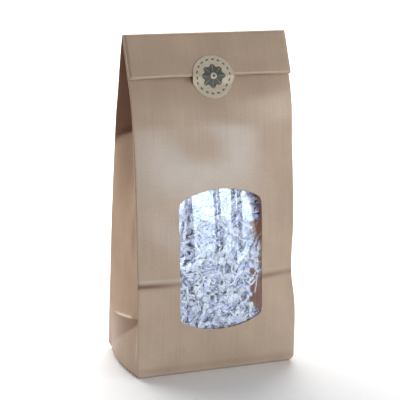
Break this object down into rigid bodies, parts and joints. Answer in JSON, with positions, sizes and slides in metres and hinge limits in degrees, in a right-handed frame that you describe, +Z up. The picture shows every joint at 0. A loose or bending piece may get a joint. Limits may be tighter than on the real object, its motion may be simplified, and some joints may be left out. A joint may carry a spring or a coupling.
{
  "type": "windowed kraft paper bag",
  "caption": "Gusseted kraft paper bag with a clear arched window, filled with white shredded paper, its top folded over the front and held by a round label.",
  "frame": {"origin": "on the underside of the base, at the middle of its width and depth", "axes": "+Z up; -Y out of the windowed front; +X to the right seen from the front"},
  "size_m": [0.1278, 0.0737, 0.2391],
  "materials": {
    "kraft_paper": "machine-glazed brown kraft paper with fine upright ribs and a soft sheen",
    "clear_film": "thin clear film, glossy, with soft upright ripples",
    "label_paper": null,
    "white_shred": "matt white shredded paper with a cool tint"
  },
  "bodies": {
    "root": {"kraft_bag": "kraft_paper", "window_film": "clear_film", "round_label": "label_paper", "shredded_paper": "white_shred"}
  },
  "joints": []
}
